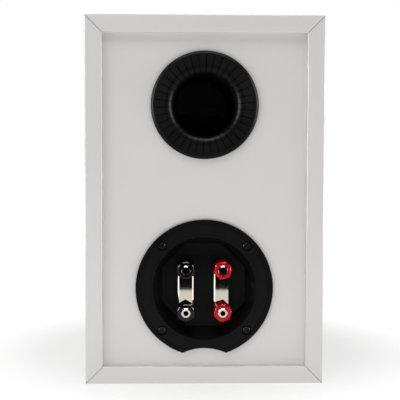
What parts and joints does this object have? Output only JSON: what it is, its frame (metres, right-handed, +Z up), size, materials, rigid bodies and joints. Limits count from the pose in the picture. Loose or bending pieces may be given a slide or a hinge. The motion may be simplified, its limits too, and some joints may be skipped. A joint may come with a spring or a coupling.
{
  "type": "bookshelf speaker",
  "caption": "Bookshelf loudspeaker with woofer, tweeter, rear reflex port and bi-wire binding posts on a round plate.",
  "frame": {"origin": "middle of the cabinet's base, on the surface it stands on", "axes": "+Z up, the drivers face -Y, the port and the binding posts face +Y, and +X is the viewer's right seen from the front"},
  "size_m": [0.18, 0.2502, 0.278],
  "materials": {
    "vinyl_grey": "satin vinyl wrap on fibreboard",
    "black_plastic": "satin",
    "grey_plastic": "satin",
    "black_gloss": "gloss",
    "red_gloss": "gloss, slightly translucent",
    "nickel": "polished nickel plate",
    "brass_tag": "tinned",
    "black_steel": "black phosphate",
    "zinc_steel": "zinc plated",
    "ferrite": "matt sintered",
    "rubber": "matt",
    "foam": "closed-cell foam",
    "basket_cast": "black powder coat",
    "cone_paper": "coated paper pulp",
    "spider_cloth": "resin-dipped cotton",
    "copper_wire": "enamelled copper winding",
    "dome_metal": "satin",
    "wadding": "polyester wadding",
    "board": "solder mask on glass epoxy",
    "film_cap": "epoxy sleeve",
    "cement": "matt",
    "nylon": "moulded nylon",
    "phenolic": "phenolic board",
    "wire_red": "PVC sleeve",
    "wire_black": "PVC sleeve"
  },
  "bodies": {
    "cabinet": {"top_panel": "vinyl_grey", "bottom_panel": "vinyl_grey", "left_panel": "vinyl_grey", "right_panel": "vinyl_grey", "front_baffle": "vinyl_grey", "back_panel": "vinyl_grey", "damping_wadding": "wadding", "port_flange": "black_plastic", "port_tube": "grey_plastic", "port_inner_flare": "grey_plastic", "terminal_plate": "black_plastic", "terminal_gasket": "foam", "terminal_screws": "black_steel", "post_collars_black": "black_gloss", "post_collars_red": "red_gloss", "post_nuts": "nickel", "solder_tags": "brass_tag", "link_black": "nickel", "link_red": "nickel", "woofer_basket": "basket_cast", "woofer_gasket": "rubber", "woofer_top_plate": "zinc_steel", "woofer_magnet": "ferrite", "woofer_yoke": "zinc_steel", "woofer_spider": "spider_cloth", "woofer_surround": "rubber", "woofer_screws": "black_steel", "woofer_terminal_strip": "phenolic", "tweeter_faceplate": "black_plastic", "tweeter_surround": "rubber", "tweeter_top_plate": "zinc_steel", "tweeter_magnet": "ferrite", "tweeter_yoke": "basket_cast", "tweeter_screws": "black_steel", "tweeter_terminal_strip": "phenolic", "crossover_board": "board", "crossover_coils": "copper_wire", "crossover_capacitors": "film_cap", "crossover_resistors": "cement", "crossover_spacers": "nylon", "crossover_screws": "zinc_steel", "wires_red": "wire_red", "wires_black": "wire_black", "stud_black_low": "nickel", "stud_black_high": "nickel", "stud_red_low": "nickel", "stud_red_high": "nickel"},
    "woofer_diaphragm": {"woofer_cone": "cone_paper", "woofer_dust_cap": "rubber", "woofer_voice_coil": "copper_wire"},
    "tweeter_diaphragm": {"tweeter_dome": "dome_metal", "tweeter_voice_coil": "copper_wire"},
    "washer_black_low": {"washer_black_low": "nickel"},
    "cap_black_low": {"cap_black_low": "black_gloss"},
    "washer_black_high": {"washer_black_high": "nickel"},
    "cap_black_high": {"cap_black_high": "black_gloss"},
    "washer_red_low": {"washer_red_low": "nickel"},
    "cap_red_low": {"cap_red_low": "red_gloss"},
    "washer_red_high": {"washer_red_high": "nickel"},
    "cap_red_high": {"cap_red_high": "red_gloss"}
  },
  "joints": [
    {"name": "woofer_stroke", "type": "slide", "parent": "cabinet", "child": "woofer_diaphragm", "axis": [0, -1, 0], "range_m": [-0.005, 0.005], "stiffness_N_per_m": 1000, "deforming": ["woofer_surround", "woofer_spider"]},
    {"name": "tweeter_stroke", "type": "slide", "parent": "cabinet", "child": "tweeter_diaphragm", "axis": [0, -1, 0], "range_m": [-0.0005, 0.0005], "stiffness_N_per_m": 2000, "deforming": ["tweeter_surround"]},
    {"name": "lift_black_low", "type": "slide", "parent": "cabinet", "child": "washer_black_low", "axis": [0, 1, 0], "range_m": [0, 0.004]},
    {"name": "turn_black_low", "type": "hinge", "parent": "washer_black_low", "child": "cap_black_low", "pos_m": [0.014, 0.1165, 0.0538], "axis": [0, 1, 0], "range_deg": [0, 1800]},
    {"name": "lift_black_high", "type": "slide", "parent": "cabinet", "child": "washer_black_high", "axis": [0, 1, 0], "range_m": [0, 0.004]},
    {"name": "turn_black_high", "type": "hinge", "parent": "washer_black_high", "child": "cap_black_high", "pos_m": [0.014, 0.1165, 0.0862], "axis": [0, 1, 0], "range_deg": [0, 1800]},
    {"name": "lift_red_low", "type": "slide", "parent": "cabinet", "child": "washer_red_low", "axis": [0, 1, 0], "range_m": [0, 0.004]},
    {"name": "turn_red_low", "type": "hinge", "parent": "washer_red_low", "child": "cap_red_low", "pos_m": [-0.014, 0.1165, 0.0538], "axis": [0, 1, 0], "range_deg": [0, 1800]},
    {"name": "lift_red_high", "type": "slide", "parent": "cabinet", "child": "washer_red_high", "axis": [0, 1, 0], "range_m": [0, 0.004]},
    {"name": "turn_red_high", "type": "hinge", "parent": "washer_red_high", "child": "cap_red_high", "pos_m": [-0.014, 0.1165, 0.0862], "axis": [0, 1, 0], "range_deg": [0, 1800]}
  ],
  "couplings": [
    {"joint": "turn_black_low", "follows": "lift_black_low", "rad_per_m": 7854},
    {"joint": "turn_black_high", "follows": "lift_black_high", "rad_per_m": 7854},
    {"joint": "turn_red_low", "follows": "lift_red_low", "rad_per_m": 7854},
    {"joint": "turn_red_high", "follows": "lift_red_high", "rad_per_m": 7854}
  ]
}
